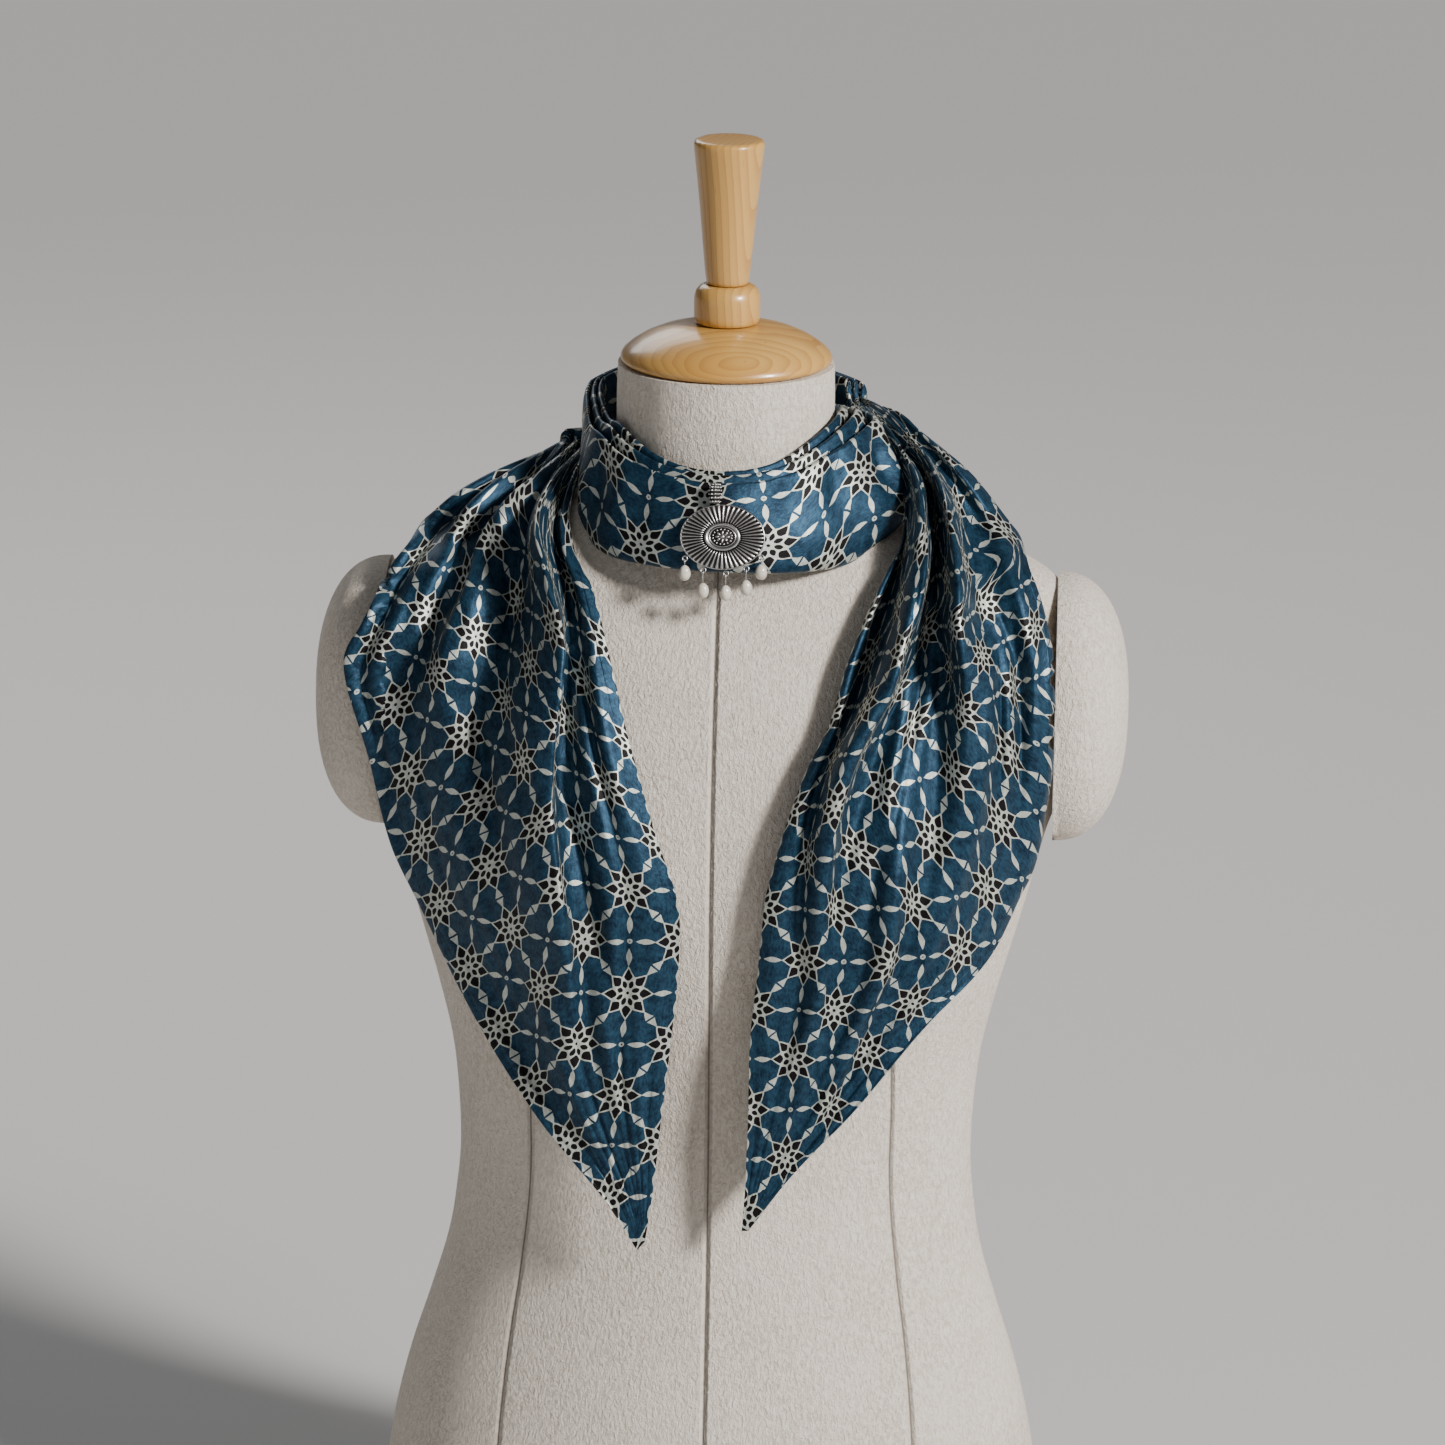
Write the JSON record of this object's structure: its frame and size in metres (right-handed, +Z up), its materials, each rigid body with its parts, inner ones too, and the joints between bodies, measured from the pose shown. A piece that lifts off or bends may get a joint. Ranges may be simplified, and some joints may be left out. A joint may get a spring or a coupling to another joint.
{
  "type": "scarf with brooch on dress form",
  "caption": "Long printed satin scarf wound once round a limbless dress form, its two slant-cut tails hanging in front, pinned with an oval brooch with swinging pearl drops.",
  "frame": {"origin": "centre of the form's flat base, on the surface it stands on", "axes": "+Z up, -Y the front of the form, +X towards the viewer's right when the front is seen"},
  "size_m": [0.4264, 0.2522, 0.804],
  "materials": {
    "form_cover": "suede nap",
    "turned_wood": "clear lacquer",
    "printed_satin": "printed satin",
    "oxidised_silver": "oxidised, polished on the high parts",
    "pearl": "pearl lustre"
  },
  "bodies": {
    "form_and_scarf": {"torso": "form_cover", "arm_cap_left": "form_cover", "arm_cap_right": "form_cover", "neck_cap": "turned_wood", "knob": "turned_wood", "handle": "turned_wood", "neck_band": "printed_satin", "nape_outer": "printed_satin", "nape_inner": "printed_satin", "tail_left": "printed_satin", "tail_right": "printed_satin", "medallion": "oxidised_silver", "boss": "oxidised_silver", "bail": "oxidised_silver", "eyelet_1": "oxidised_silver", "eyelet_2": "oxidised_silver", "eyelet_3": "oxidised_silver", "eyelet_4": "oxidised_silver", "eyelet_5": "oxidised_silver"},
    "drop_1": {"link_1": "oxidised_silver", "pearl_1": "pearl"},
    "drop_2": {"link_2": "oxidised_silver", "pearl_2": "pearl"},
    "drop_3": {"link_3": "oxidised_silver", "pearl_3": "pearl"},
    "drop_4": {"link_4": "oxidised_silver", "pearl_4": "pearl"},
    "drop_5": {"link_5": "oxidised_silver", "pearl_5": "pearl"}
  },
  "joints": [
    {"name": "drop_1_swing", "type": "hinge", "parent": "form_and_scarf", "child": "drop_1", "pos_m": [-0.0159, -0.09325, 0.60345], "axis": [-1, 0, 0], "range_deg": [-5, 80]},
    {"name": "drop_2_swing", "type": "hinge", "parent": "form_and_scarf", "child": "drop_2", "pos_m": [-0.0064, -0.0952, 0.59809], "axis": [-1, 0, 0], "range_deg": [-5, 80]},
    {"name": "drop_3_swing", "type": "hinge", "parent": "form_and_scarf", "child": "drop_3", "pos_m": [0.0052, -0.09571, 0.59668], "axis": [-1, 0, 0], "range_deg": [-5, 80]},
    {"name": "drop_4_swing", "type": "hinge", "parent": "form_and_scarf", "child": "drop_4", "pos_m": [0.0156, -0.09479, 0.59922], "axis": [-1, 0, 0], "range_deg": [-5, 80]},
    {"name": "drop_5_swing", "type": "hinge", "parent": "form_and_scarf", "child": "drop_5", "pos_m": [0.0232, -0.09277, 0.60476], "axis": [-1, 0, 0], "range_deg": [-5, 80]}
  ]
}
